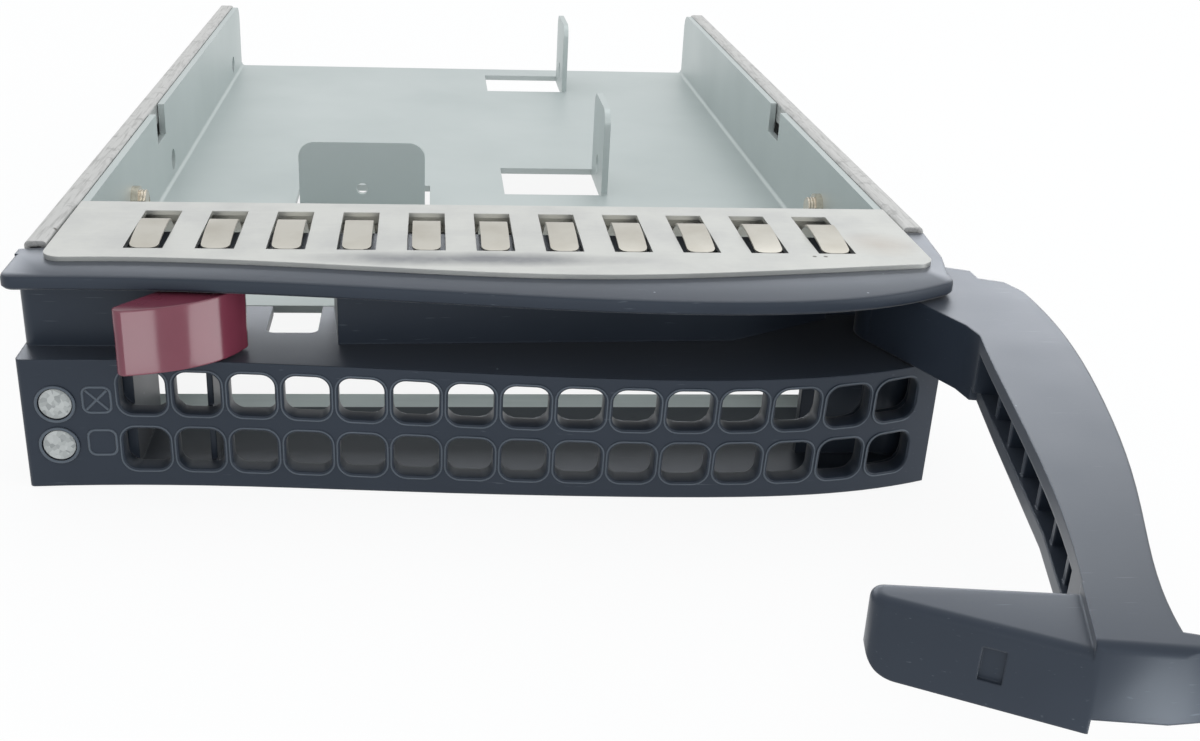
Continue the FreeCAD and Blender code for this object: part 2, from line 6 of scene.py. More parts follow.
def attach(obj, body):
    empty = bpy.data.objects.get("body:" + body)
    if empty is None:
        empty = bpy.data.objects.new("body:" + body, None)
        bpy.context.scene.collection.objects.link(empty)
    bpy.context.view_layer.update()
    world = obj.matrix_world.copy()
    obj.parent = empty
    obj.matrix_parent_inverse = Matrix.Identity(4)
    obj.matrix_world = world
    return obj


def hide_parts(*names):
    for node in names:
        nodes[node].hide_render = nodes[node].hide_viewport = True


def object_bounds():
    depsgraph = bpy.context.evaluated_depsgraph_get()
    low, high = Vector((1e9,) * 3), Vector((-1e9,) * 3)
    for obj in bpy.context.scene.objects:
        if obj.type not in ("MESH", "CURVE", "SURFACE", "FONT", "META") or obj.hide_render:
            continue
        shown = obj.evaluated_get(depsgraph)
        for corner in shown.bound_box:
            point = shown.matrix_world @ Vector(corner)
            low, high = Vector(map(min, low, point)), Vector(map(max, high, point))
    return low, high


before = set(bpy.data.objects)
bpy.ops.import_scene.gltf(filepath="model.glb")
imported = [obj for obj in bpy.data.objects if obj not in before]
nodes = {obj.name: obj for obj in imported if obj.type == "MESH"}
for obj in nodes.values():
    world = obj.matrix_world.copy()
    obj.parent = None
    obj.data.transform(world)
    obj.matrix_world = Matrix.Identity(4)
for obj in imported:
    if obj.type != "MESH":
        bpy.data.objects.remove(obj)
cadLow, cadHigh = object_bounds()
scene = bpy.context.scene
mm = 0.001
print("frame loaded", len(nodes), "nodes")


def tone(code):  # sRGB hex to linear RGBA
    parts = [int(code[i:i + 2], 16) / 255 for i in (1, 3, 5)]
    return [p / 12.92 if p <= 0.04045 else ((p + 0.055) / 1.055) ** 2.4 for p in parts] + [1.0]


def put(tree, kind, inputs=None, **settings):  # adds one node, sets it and links it
    node = tree.nodes.new(kind)
    for name, value in settings.items():
        setattr(node, name, value)
    for key, value in (inputs or {}).items():
        if isinstance(value, bpy.types.NodeSocket):
            tree.links.new(value, node.inputs[key])
        else:
            node.inputs[key].default_value = value
    return node


def calc(tree, operation, *values):  # one sum on numbers or sockets
    return put(tree, "ShaderNodeMath", dict(enumerate(values)), operation=operation).outputs[0]


def calcVector(tree, operation, *values):  # the same on vectors, with both outputs
    return put(tree, "ShaderNodeVectorMath", dict(enumerate(values)), operation=operation).outputs


def join(tree, **parts):  # a vector from its X, Y and Z
    return put(tree, "ShaderNodeCombineXYZ", parts).outputs[0]


def noise(tree, place, size, detail, **more):  # cloudy pattern, size in mm
    return put(tree, "ShaderNodeTexNoise", {"Vector": place, "Scale": 1 / (size * mm), "Detail": detail,
                                            **more}).outputs["Fac"]


def cells(tree, place, size):  # cell pattern, size in mm: reach from each middle and the cells' own draws
    cell = put(tree, "ShaderNodeTexVoronoi", {"Vector": place, "Scale": 1 / (size * mm)}, feature="F1")
    draws = put(tree, "ShaderNodeSeparateColor", {"Color": cell.outputs["Color"]})
    return cell.outputs["Distance"], draws.outputs


def stretch(tree, place, scale, **more):
    return put(tree, "ShaderNodeMapping", {"Vector": place, "Scale": scale, **more}).outputs[0]


def ramp(tree, value, start, end, low=0.0, high=1.0):  # start to end becomes low to high
    return put(tree, "ShaderNodeMapRange", {"Value": value, "From Min": start, "From Max": end,
                                            "To Min": low, "To Max": high}).outputs[0]


def fade(tree, reach, near, far, strength):  # full strength inside near, none past far, both in mm
    return ramp(tree, reach, near * mm, far * mm, strength, 0.0)


def blend(tree, factor, *colours):  # two colours, each a hex code or a socket
    first, second = (tone(c) if isinstance(c, str) else c for c in colours)
    return put(tree, "ShaderNodeMix", {"Factor": factor, 6: first, 7: second}, data_type="RGBA").outputs[2]


def specks(tree, place, size, start, end, share):  # round dots in the cells whose draw is above the share
    reach, draws = cells(tree, place, size)
    dots = ramp(tree, reach, start, end, 1.0, 0.0)
    return calc(tree, "MULTIPLY", dots, calc(tree, "GREATER_THAN", draws[0], share))


noiseSpan = (0.3, 0.7)  # most of a noise lies between these


def satin(tree, pattern, look):  # roughness that follows a pattern
    return ramp(tree, pattern, *noiseSpan, *look["rough"])


def softEdge(tree, look):  # shading of an edge rounded to a radius in mm
    return put(tree, "ShaderNodeBevel", {"Radius": look["edge"] * mm}, samples=look["samples"]).outputs[0]


def relief(tree, height, look):  # fine bump, its depth in mm, over softened edges
    strength, depth = look["bump"]
    inputs = {"Strength": strength, "Distance": depth * mm, "Height": height}
    if look["edge"]:
        inputs["Normal"] = softEdge(tree, look)
    return put(tree, "ShaderNodeBump", inputs).outputs[0]


def startMaterial(name):
    mat = bpy.data.materials.new(name)
    mat.use_nodes = True
    tree = mat.node_tree
    tree.nodes.clear()
    return mat, tree, put(tree, "ShaderNodeTexCoord").outputs["Object"]


def closeMaterial(tree, inputs):
    shader = put(tree, "ShaderNodeBsdfPrincipled", inputs)
    put(tree, "ShaderNodeOutputMaterial", {"Surface": shader.outputs[0]})


# in the looks below a noise is size in mm and detail, a bump is strength and depth in mm, an edge is a radius in mm

# black ABS, injection moulded with a fine satin grain: soft blue-grey sheen, a little lint and fine rub marks
blackSet = {"dark": "#222933", "light": "#2a313c", "dust": "#7d848c", "sheen": "#eef6ff", "grain": (0.3, 3.0),
            "haze": (11.0, 4.0), "lint": (3.4, 0.02, 0.05, 0.8), "rub": (0.25, 2.0), "rubTurn": (0.0, 0.3, 0.5),
            "rubStretch": (0.05, 1.0, 1.0), "hair": (0.7, 0.78, 0.0, 0.25), "rough": (0.38, 0.43),
            "bump": (0.1, 0.02), "edge": 0.28, "samples": 6}
rimHighlightSet = dict(blackSet, dark="#4b525a", light="#59616a", edge=0.0)  # a paler copy of the black: painted highlight along the raised rims, rings and signs


def mouldedBlackAbs(name, look):
    mat, tree, place = startMaterial(name)
    grain = noise(tree, place, *look["grain"])
    haze = noise(tree, place, *look["haze"])
    long = stretch(tree, place, look["rubStretch"], Rotation=look["rubTurn"])
    hair = ramp(tree, noise(tree, long, *look["rub"]), *look["hair"])
    marks = calc(tree, "MAXIMUM", specks(tree, place, *look["lint"]), hair)
    body = blend(tree, haze, look["dark"], look["light"])
    closeMaterial(tree, {"Base Color": blend(tree, marks, body, look["dust"]), "Roughness": satin(tree, haze, look),
                         "IOR": 1.5, "Specular IOR Level": 0.36, "Specular Tint": tone(look["sheen"]),
                         "Sheen Weight": 0.22, "Sheen Roughness": 0.3, "Normal": relief(tree, grain, look)})
    return mat


# maroon ABS, moulded in a polished tool: wet gloss with window-like highlights and a pale edge
maroonSet = {"deep": "#5e2937", "lit": "#6e3443", "flow": (6.0, 3.0), "rough": (0.12, 0.17), "bump": (0.04, 0.05),
             "edge": 0.2, "samples": 6}


def polishedMaroonAbs(look):
    mat, tree, place = startMaterial("polishedMaroonAbs")
    flow = noise(tree, place, *look["flow"])
    closeMaterial(tree, {"Base Color": blend(tree, flow, look["deep"], look["lit"]),
                         "Roughness": satin(tree, flow, look), "IOR": 1.54, "Normal": relief(tree, flow, look)})
    return mat


# stainless sheet, mill finish rubbed along its length: even bright grey, a grey smudge, a brown stain, and two
# pricks painted as dark dots of shade in place of small holes
stainlessSet = {"clean": "#cfd1ce", "rubbed": "#bbbdbd", "rub": (9.0, 7.0), "rubRoughness": 0.62,
                "worn": (0.42, 0.72, 0.0, 0.7), "streak": (0.4, 4.0), "streakStretch": (0.05, 1.0, 1.0),
                "smudge": "#86898d", "smudgeSpot": (-3.0, -11.6, 26.0), "smudgeStretch": (0.13, 1.0, 1.0),
                "smudgeReach": (0.4, 2.8, 2.2), "stain": "#a18a79", "stainSpot": (45.9, -5.2, 26.0),
                "stainReach": (0.5, 5.0, 0.75), "prickHoleShade": "#5a5753", "prickSpot": (37.5, -9.75, 26.0),
                "prickApart": (0.65, 0.0, 0.0), "prickReach": (0.18, 0.3, 0.9), "rough": (0.36, 0.42),
                "bump": (0.04, 0.02), "edge": 0.12, "samples": 4}


def rubbedStainless(look):
    mat, tree, place = startMaterial("rubbedStainless")
    streak = noise(tree, stretch(tree, place, look["streakStretch"]), *look["streak"])
    rub = noise(tree, place, *look["rub"], Roughness=look["rubRoughness"])
    colour = blend(tree, ramp(tree, rub, *look["worn"]), look["clean"], look["rubbed"])
    shift = [-c * mm * s for c, s in zip(look["smudgeSpot"], look["smudgeStretch"])]
    flat = stretch(tree, place, look["smudgeStretch"], Location=shift)
    smudge = fade(tree, calcVector(tree, "LENGTH", flat)["Value"], *look["smudgeReach"])
    colour = blend(tree, calc(tree, "MULTIPLY", smudge, rub), colour, look["smudge"])
    reach = calcVector(tree, "DISTANCE", place, Vector(look["stainSpot"]) * mm)["Value"]
    stain = fade(tree, reach, *look["stainReach"])
    colour = blend(tree, calc(tree, "MULTIPLY", stain, rub), colour, look["stain"])
    # two dark dots painted as shade in place of the small pricked holes
    aside = calcVector(tree, "SUBTRACT", place, Vector(look["prickSpot"]) * mm)[0]
    both = calcVector(tree, "ABSOLUTE", aside)[0]
    reach = calcVector(tree, "DISTANCE", both, Vector(look["prickApart"]) * mm)["Value"]
    colour = blend(tree, fade(tree, reach, *look["prickReach"]), colour, look["prickHoleShade"])
    closeMaterial(tree, {"Base Color": colour, "Metallic": 1.0, "Roughness": satin(tree, streak, look),
                         "Normal": relief(tree, streak, look)})
    return mat


# tin-plated spring strip, stamped: pale warm metal with soft reflections and faint rub marks
springSet = {"plate": "#c1bfb7", "rubbed": "#b4b1a8", "rub": (5.0, 5.0), "worn": (0.4, 0.75), "rough": (0.38, 0.46),
             "bump": (0.04, 0.02), "edge": 0.08, "samples": 4}


def tinPlatedSpring(look):
    mat, tree, place = startMaterial("tinPlatedSpring")
    rub = noise(tree, place, *look["rub"])
    colour = blend(tree, ramp(tree, rub, *look["worn"]), look["plate"], look["rubbed"])
    closeMaterial(tree, {"Base Color": colour, "Metallic": 1.0, "Roughness": satin(tree, rub, look),
                         "Normal": relief(tree, rub, look)})
    return mat


# zinc-coated steel, cold rolled and passivated: even cool grey with a faint cloudy bloom
zincSet = {"pale": "#c4cccb", "bloom": "#b4bdbc", "cloud": (26.0, 5.0), "grain": (0.4, 2.0), "rough": (0.42, 0.5),
           "bump": (0.06, 0.02), "edge": 0.12, "samples": 4}


def galvanisedSteel(look):
    mat, tree, place = startMaterial("galvanisedSteel")
    cloud = noise(tree, place, *look["cloud"])
    grain = noise(tree, place, *look["grain"])
    closeMaterial(tree, {"Base Color": blend(tree, cloud, look["pale"], look["bloom"]), "Metallic": 0.62,
                         "Roughness": satin(tree, cloud, look), "Normal": relief(tree, grain, look)})
    return mat


# zinc-coated steel, skin-passed between smooth rolls: bright grey sheet with faint rolling streaks
rolledSet = {"steel": "#dfe3e3", "streaked": "#ccd1d2", "streak": (1.2, 4.0), "streakStretch": (0.08, 1.0, 1.0),
             "rough": (0.3, 0.42), "edge": 0.12, "samples": 4}


def skinPassedSteel(look):
    mat, tree, place = startMaterial("skinPassedSteel")
    streak = noise(tree, stretch(tree, place, look["streakStretch"]), *look["streak"])
    closeMaterial(tree, {"Base Color": blend(tree, streak, look["steel"], look["streaked"]), "Metallic": 1.0,
                         "Roughness": satin(tree, streak, look), "Normal": softEdge(tree, look)})
    return mat


# the same zinc coat on the sliding rails: dull, scratched along the slide, with grey blotches and dark pits
railSet = {"pale": "#c6c7c6", "scratched": "#adaead", "scratch": (0.3, 5.0), "scratchStretch": (1.0, 0.06, 1.0),
           "lines": (0.5, 0.7), "blotch": "#a2a3a2", "blot": (2.2, 6.0), "blotRoughness": 0.7,
           "dull": (0.54, 0.68, 0.0, 0.8), "pit": "#6a6864", "pits": (3.4, 0.05, 0.12, 0.84), "rough": (0.4, 0.52),
           "bump": (0.1, 0.03), "edge": 0.15, "samples": 4}


def scratchedRailSteel(look):
    mat, tree, place = startMaterial("scratchedRailSteel")
    scratch = noise(tree, stretch(tree, place, look["scratchStretch"]), *look["scratch"])
    colour = blend(tree, ramp(tree, scratch, *look["lines"]), look["pale"], look["scratched"])
    blot = noise(tree, place, *look["blot"], Roughness=look["blotRoughness"])
    colour = blend(tree, ramp(tree, blot, *look["dull"]), colour, look["blotch"])
    colour = blend(tree, specks(tree, place, *look["pits"]), colour, look["pit"])
    closeMaterial(tree, {"Base Color": colour, "Metallic": 1.0, "Roughness": satin(tree, scratch, look),
                         "Normal": relief(tree, scratch, look)})
    return mat


# nickel-plated steel fasteners, turned: warm bright metal with fine tool marks
screwSet = {"plate": "#e4ded0", "groove": "#a3998a", "turning": (0.4, 4.0), "rough": (0.12, 0.2),
            "bump": (0.08, 0.02), "edge": 0.0}


def nickelPlatedScrew(look):
    mat, tree, place = startMaterial("nickelPlatedScrew")
    mark = noise(tree, place, *look["turning"])
    closeMaterial(tree, {"Base Color": blend(tree, mark, look["groove"], look["plate"]), "Metallic": 1.0,
                         "Roughness": satin(tree, mark, look), "Normal": relief(tree, mark, look)})
    return mat


# clear acrylic light pipe, its ends left frosted by the moulding gate: grey crystal facets, each painted its own
# grey from pale to dark, painted light and shade standing in for facets catching the light
acrylicSet = {"clear": "#d6d9d7", "paintedFacetShade": "#a4a8a7", "facet": 0.55, "bump": (0.3, 0.1), "edge": 0.0}


def frostedAcrylic(look):
    mat, tree, place = startMaterial("frostedAcrylic")
    draws = cells(tree, place, look["facet"])[1]
    # each facet's grey is painted light and shade
    closeMaterial(tree, {"Base Color": blend(tree, draws[0], look["paintedFacetShade"], look["clear"]), "Roughness": 0.24,
                         "IOR": 1.49, "Transmission Weight": 0.25, "Normal": relief(tree, draws[1], look)})
    return mat


blackAbs = mouldedBlackAbs("mouldedBlackAbs", blackSet)
# paler black for the raised rims, rings and signs: painted highlight
rimHighlightAbs = mouldedBlackAbs("mouldedBlackRimHighlight", rimHighlightSet)
maroonAbs = polishedMaroonAbs(maroonSet)
stainless = rubbedStainless(stainlessSet)
springTin = tinPlatedSpring(springSet)
zincSteel = galvanisedSteel(zincSet)
rolledSteel = skinPassedSteel(rolledSet)
railSteel = scratchedRailSteel(railSet)
nickel = nickelPlatedScrew(screwSet)
acrylic = frostedAcrylic(acrylicSet)

finishes = {
    "bezel_housing": blackAbs, "lever": blackAbs, "light_pipe_clip": blackAbs, "release_button": maroonAbs,
    "upper_shield_cover": stainless, "spring_finger_strip": springTin, "lower_shield_plate": rolledSteel,
    "adapter_plate": zincSteel, "left_side_rail": railSteel, "right_side_rail": railSteel,
    "adapter_screws": nickel, "clinch_nuts": nickel, "shield_screws": nickel, "lever_pivot_pin": nickel,
    "button_pivot_pin": nickel, "upper_light_pipe": acrylic, "lower_light_pipe": acrylic,
}
for name, mat in finishes.items():
    slots = nodes[name].material_slots
    if len(slots) == 0:
        nodes[name].data.materials.append(mat)
    for slot in slots:
        slot.material = mat
print("finishes set")

# edge round in mm for the one piece with a crisp polished edge, and how its edges are found; angles in degrees
roundSet = {"release_button": 0.24}
edgeSet = {"weld": 0.002, "flat": 0.5, "sharp": 40.0, "steps": 3, "weight": 100}

# moulded and bent pieces shown with rounded shading: node, body, slot, crease angle in degrees
skinSet = [
    ("bezel_housing", "tray", "black_moulding", 28.0), ("lever", "lever", "black_moulding", 28.0),
    ("release_button", "button", "maroon_moulding", 35.0), ("upper_shield_cover", "tray", "stainless_cover", 30.0),
    ("left_side_rail", "tray", "rail_sheet", 30.0), ("right_side_rail", "tray", "rail_sheet", 30.0),
    ("adapter_plate", "tray", "galvanised_sheet", 30.0), ("adapter_screws", "tray", "plated_fastener", 30.0),
    ("clinch_nuts", "tray", "plated_fastener", 30.0),
]


def meshFrom(made, name):  # turns a bmesh into a mesh and frees it
    mesh = bpy.data.meshes.new(name)
    made.to_mesh(mesh)
    made.free()
    return mesh


def show(name, mesh):
    piece = bpy.data.objects.new(name, mesh)
    scene.collection.objects.link(piece)
    return piece


def evaluated(piece):  # the mesh as its modifiers leave it
    return bpy.data.meshes.new_from_object(piece.evaluated_get(bpy.context.evaluated_depsgraph_get()))


def roundEdges(made, radius):
    bmesh.ops.dissolve_limit(made, angle_limit=math.radians(edgeSet["flat"]), verts=made.verts, edges=made.edges)
    limit = math.radians(edgeSet["sharp"])
    sharp = [e for e in made.edges if len(e.link_faces) == 2 and e.calc_face_angle() > limit]
    bmesh.ops.bevel(made, geom=sharp, offset=radius * mm, segments=edgeSet["steps"], profile=0.5, affect="EDGES",
                    clamp_overlap=True)


def evenNormals(skin):  # keeps the broad faces' own normals beside the narrow rounds
    even = skin.modifiers.new("even", "WEIGHTED_NORMAL")
    even.weight = edgeSet["weight"]
    even.keep_sharp = True
    skin.data = evaluated(skin)
    skin.modifiers.remove(even)


def smoothSkin(name, body, slotName, crease):
    made = bmesh.new()
    made.from_mesh(nodes[name].data)
    bmesh.ops.remove_doubles(made, verts=made.verts, dist=edgeSet["weld"] * mm)
    if name in roundSet:
        roundEdges(made, roundSet[name])
    mesh = meshFrom(made, name + "Skin")
    if "custom_normal" in mesh.attributes:
        mesh.attributes.remove(mesh.attributes["custom_normal"])
    mesh.shade_smooth()
    mesh.set_sharp_from_angle(angle=math.radians(crease))
    mesh.materials.clear()
    mesh.materials.append(finishes[name])
    skin = show(name + "Skin", mesh)
    if name in roundSet:
        evenNormals(skin)
    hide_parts(name)
    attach(skin, body)
    return skin


skins = {row[0]: smoothSkin(*row) for row in skinSet}
print("skins smoothed", len(skins))


def startTree(name, sizes, *extras):  # inputs: the sizes by name, then other sockets, then the material
    tree = bpy.data.node_groups.new(name, "GeometryNodeTree")
    tree.interface.new_socket("Geometry", in_out="OUTPUT", socket_type="NodeSocketGeometry")
    kinds = [(label, "Int" if isinstance(value, int) else "Float") for label, value in sizes.items()]
    keys = {label: tree.interface.new_socket(label, in_out="INPUT", socket_type="NodeSocket" + kind).identifier
            for label, kind in kinds + [*extras, ("Material", "Material")]}
    return tree, put(tree, "NodeGroupInput").outputs, keys


def endTree(tree, shape, material, smooth=True):
    solid = put(tree, "GeometryNodeRealizeInstances", {"Geometry": shape})
    if smooth:
        solid = put(tree, "GeometryNodeSetShadeSmooth", {"Geometry": solid.outputs[0]})
    done = put(tree, "GeometryNodeSetMaterial", {"Geometry": solid.outputs[0], "Material": material})
    put(tree, "NodeGroupOutput", {0: done.outputs[0]})


def grow(name, tree, keys, values, body):  # runs a tree once and keeps its mesh
    piece = show(name, bpy.data.meshes.new(name + "Seed"))
    shaper = piece.modifiers.new("shape", "NODES")
    shaper.node_group = tree
    for label, value in values.items():
        shaper[keys[label]] = value
    mesh = evaluated(piece)
    piece.modifiers.remove(shaper)
    piece.data = mesh
    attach(piece, body)
    print(name, len(mesh.polygons), "faces")
    return piece


def moved(tree, shape, **how):
    return put(tree, "GeometryNodeTransform", {"Geometry": shape, **how}).outputs[0]


def circle(tree, radius, steps):
    return put(tree, "GeometryNodeCurvePrimitiveCircle", {"Resolution": steps, "Radius": radius}).outputs[0]


def roundedBox(tree, wide, high, corner, steps):
    box = put(tree, "GeometryNodeCurvePrimitiveQuadrilateral", {"Width": wide, "Height": high})
    return put(tree, "GeometryNodeFilletCurve", {"Curve": box.outputs[0], "Radius": corner, "Count": steps},
               mode="POLY").outputs[0]


def swept(tree, line, profile, **more):
    return put(tree, "GeometryNodeCurveToMesh", {"Curve": line, "Profile Curve": profile, **more}).outputs[0]


def copied(tree, points, shape):
    return put(tree, "GeometryNodeInstanceOnPoints", {"Points": points, "Instance": shape}).outputs[0]


def gathered(tree, *shapes):
    pile = put(tree, "GeometryNodeJoinGeometry")
    for shape in shapes:
        tree.links.new(shape, pile.inputs[0])
    return pile.outputs[0]


standing = (math.pi / 2, 0.0, 0.0)  # turns a flat shape up against the front
castFrom = 0.06  # metres before the origin, well clear of the front


def frontDepth(tree, bezel, spot):  # Y of the bezel's front straight behind each spot
    apart = put(tree, "ShaderNodeSeparateXYZ", {0: spot}).outputs
    shape = put(tree, "GeometryNodeObjectInfo", {"Object": bezel})
    ray = put(tree, "GeometryNodeRaycast", {
        "Target Geometry": shape.outputs["Geometry"], "Ray Direction": (0.0, 1.0, 0.0), "Ray Length": castFrom,
        "Source Position": join(tree, X=apart[0], Y=-castFrom, Z=apart[2])})
    return put(tree, "ShaderNodeSeparateXYZ", {0: ray.outputs["Hit Position"]}).outputs[1]


# rounded sleeves of the perforations, laid on the leaning front, and the raised rim round each
sleeveSet = {"Columns": 15, "Rows": 2, "Pitch": 6.1 * mm, "Row Pitch": 7.0 * mm, "First X": -39.55 * mm,
             "Top Z": 11.7 * mm, "Size": 5.5 * mm, "Corner": 1.65 * mm, "Wall": 0.36 * mm, "Depth": 2.5 * mm,
             "Proud": 0.02 * mm}
beadSet = {"Size": 5.74 * mm, "Corner": 1.76 * mm, "Wall": 0.18 * mm, "Depth": 0.18 * mm, "Proud": 0.11 * mm}
sleeveCut = {"cornerSteps": 7, "rimSteps": 3, "rimRound": 0.49, "widen": 1.12}  # widened so a ray misses the hole


def holeSleeves():
    tree, given, keys = startTree("holeSleeves", sleeveSet, ("Bezel", "Object"))
    wide = calc(tree, "MULTIPLY", calc(tree, "SUBTRACT", given["Columns"], 1.0), given["Pitch"])
    high = calc(tree, "MULTIPLY", calc(tree, "SUBTRACT", given["Rows"], 1.0), given["Row Pitch"])
    grid = put(tree, "GeometryNodeMeshGrid", {"Size X": wide, "Size Y": high, "Vertices X": given["Columns"],
                                              "Vertices Y": given["Rows"]})
    middle = join(tree, X=calc(tree, "MULTIPLY_ADD", wide, 0.5, given["First X"]),
                  Z=calc(tree, "MULTIPLY_ADD", high, -0.5, given["Top Z"]))
    upright = moved(tree, grid.outputs[0], Translation=middle, Rotation=standing)
    points = put(tree, "GeometryNodeMeshToPoints", {"Mesh": upright})
    here = put(tree, "GeometryNodeInputPosition").outputs[0]
    keep = put(tree, "GeometryNodeCaptureAttribute", {"Geometry": points.outputs[0]})
    keep.capture_items.new("VECTOR", "Centre")
    tree.links.new(here, keep.inputs["Centre"])
    centre = keep.outputs["Centre"]
    hole = roundedBox(tree, given["Size"], given["Size"], given["Corner"], sleeveCut["cornerSteps"])
    half = calc(tree, "MULTIPLY", given["Wall"], sleeveCut["rimRound"])
    rim = roundedBox(tree, given["Wall"], given["Depth"], half, sleeveCut["rimSteps"])
    sleeve = moved(tree, swept(tree, hole, rim), Rotation=standing)
    copies = copied(tree, keep.outputs["Geometry"], sleeve)
    solid = put(tree, "GeometryNodeRealizeInstances", {"Geometry": copies})
    away = calcVector(tree, "SUBTRACT", here, centre)[0]
    wider = put(tree, "ShaderNodeVectorMath", {0: away, "Scale": sleeveCut["widen"]}, operation="SCALE").outputs[0]
    front = frontDepth(tree, given["Bezel"], calcVector(tree, "ADD", centre, wider)[0])
    back = calc(tree, "MULTIPLY_ADD", given["Depth"], 0.5, front)
    seat = join(tree, Y=calc(tree, "SUBTRACT", back, given["Proud"]))
    placed = put(tree, "GeometryNodeSetPosition", {"Geometry": solid.outputs[0], "Offset": seat})
    endTree(tree, placed.outputs[0], given["Material"])
    # the raised rims take the paler black, a painted highlight round each hole
    looks = (("holeSleeves", sleeveSet, blackAbs), ("holeRims", dict(sleeveSet, **beadSet), rimHighlightAbs))
    for name, sizes, mat in looks:
        values = dict(sizes, Bezel=skins["bezel_housing"], Material=mat)
        grow(name, tree, keys, values, "tray")


holeSleeves()

# rolled thread on the two screw ends that stand inside the walls
threadSet = {"Radius": 1.46 * mm, "Ridge": 0.16 * mm, "Turns": 2.6, "Length": 1.1 * mm, "Tip": 47.8 * mm,
             "Row Y": 35.0 * mm, "Row Z": 18.2 * mm}
threadSteps = {"turn": 24, "ridge": 6}


def screwThreads():
    tree, given, keys = startTree("screwThreads", threadSet)
    helix = put(tree, "GeometryNodeCurveSpiral", {
        "Resolution": threadSteps["turn"], "Rotations": given["Turns"], "Start Radius": given["Radius"],
        "End Radius": given["Radius"], "Height": given["Length"]})
    ridge = circle(tree, given["Ridge"], threadSteps["ridge"])
    wound = swept(tree, helix.outputs[0], ridge, **{"Fill Caps": True})
    lying = moved(tree, wound, Rotation=(0.0, math.pi / 2, 0.0))
    rightSpot = join(tree, X=given["Tip"], Y=given["Row Y"], Z=given["Row Z"])
    far = calc(tree, "MULTIPLY", given["Tip"], -1.0)
    leftSpot = join(tree, X=far, Y=given["Row Y"], Z=given["Row Z"])
    rightEnd = moved(tree, lying, Translation=rightSpot)
    leftEnd = moved(tree, lying, Translation=leftSpot, Rotation=(0.0, 0.0, math.pi))
    endTree(tree, gathered(tree, rightEnd, leftEnd), given["Material"])
    grow("screwThreads", tree, keys, dict(threadSet, Material=nickel), "tray")


screwThreads()

# raised rings round the two light ends
lensSet = {"Column X": -49.2 * mm, "Top Z": 10.3 * mm, "Pitch": 5.1 * mm, "Face Y": -16.72 * mm, "Ring": 2.1 * mm,
           "Bead": 0.17 * mm}
lensSteps = {"ring": 40, "bead": 8}


def lensRings():
    tree, given, keys = startTree("lensRings", lensSet)
    loop = circle(tree, given["Ring"], lensSteps["ring"])
    bead = circle(tree, given["Bead"], lensSteps["bead"])
    ring = moved(tree, swept(tree, loop, bead), Rotation=standing)
    first = join(tree, X=given["Column X"], Y=given["Face Y"], Z=given["Top Z"])
    step = join(tree, Z=calc(tree, "MULTIPLY", given["Pitch"], -1.0))
    row = put(tree, "GeometryNodeMeshLine", {"Count": 2, "Start Location": first, "Offset": step})
    endTree(tree, copied(tree, row.outputs[0], ring), given["Material"])
    # the rings take the paler black, a painted highlight
    grow("lensRings", tree, keys, dict(lensSet, Material=rimHighlightAbs), "tray")


lensRings()

# contact strip: one bent finger, repeated along the strip that carries them; the bend's Y and Z in mm
fingerSet = {"Count": 11, "Pitch": 7.97 * mm, "First X": -39.85 * mm}
bendSet = {"width": 3.3, "corner": 0.95, "sheet": 0.25, "tip": (-8.4, 25.95), "crest": (-0.6, 26.8),
           "root": (5.6, 23.6), "tipPull": (1.4, 0.5), "risePull": (3.0, 0.0), "fallPull": (2.25, 0.0),
           "rootPull": (2.2, 0.0), "riseSteps": 30, "fallSteps": 15, "across": 4, "crease": 40.0}
stripSet = {"left": -43.85, "right": 43.85, "front": 5.5, "back": 8.4, "leg": 1.2, "fold": 0.3, "foldMid": 0.29,
            "slant": 0.707}


def sheetShell(name, rows):  # closed shell from rows of points on the upper face and their normals
    made = bmesh.new()
    upper = [[made.verts.new(spot * mm) for spot, out in row] for row in rows]
    under = [[made.verts.new((spot - out * bendSet["sheet"]) * mm) for spot, out in row] for row in rows]
    last, wide = len(rows) - 1, len(rows[0]) - 1
    for i in range(last):
        for j in range(wide):
            made.faces.new((upper[i][j], upper[i][j + 1], upper[i + 1][j + 1], upper[i + 1][j]))
            made.faces.new((under[i + 1][j], under[i + 1][j + 1], under[i][j + 1], under[i][j]))
        for j in (0, wide):
            made.faces.new((upper[i][j], upper[i + 1][j], under[i + 1][j], under[i][j]))
    for i in (0, last):
        for j in range(wide):
            made.faces.new((upper[i][j], upper[i][j + 1], under[i][j + 1], under[i][j]))
    bmesh.ops.recalc_face_normals(made, faces=made.faces)
    mesh = meshFrom(made, name)
    mesh.shade_smooth()
    mesh.set_sharp_from_angle(angle=math.radians(bendSet["crease"]))
    return show(name, mesh)


def bentFinger():
    b = bendSet
    tip, crest, root, tipPull, risePull, fallPull, rootPull = (
        Vector((0.0, *b[key])) for key in ("tip", "crest", "root", "tipPull", "risePull", "fallPull", "rootPull"))
    rise = interpolate_bezier(tip, tip + tipPull, crest - risePull, crest, b["riseSteps"])
    fall = interpolate_bezier(crest, crest + fallPull, root - rootPull, root, b["fallSteps"])
    line = rise + fall[1:]
    rows, run, r = [], 0.0, b["corner"]
    for k, spot in enumerate(line):
        if k:
            run += (spot - line[k - 1]).length
        along = (line[min(k + 1, len(line) - 1)] - line[max(k - 1, 0)]).normalized()
        out = Vector((1.0, 0.0, 0.0)).cross(along)
        cut = r - math.sqrt(max(r * r - (r - run) ** 2, 0.0)) if run < r else 0.0  # rounds the tip's corners
        half = b["width"] / 2 - cut
        shares = [2 * j / b["across"] - 1 for j in range(b["across"] + 1)]
        rows.append([(spot + Vector((half * share, 0.0, 0.0)), out) for share in shares])
    return sheetShell("bentFinger", rows)


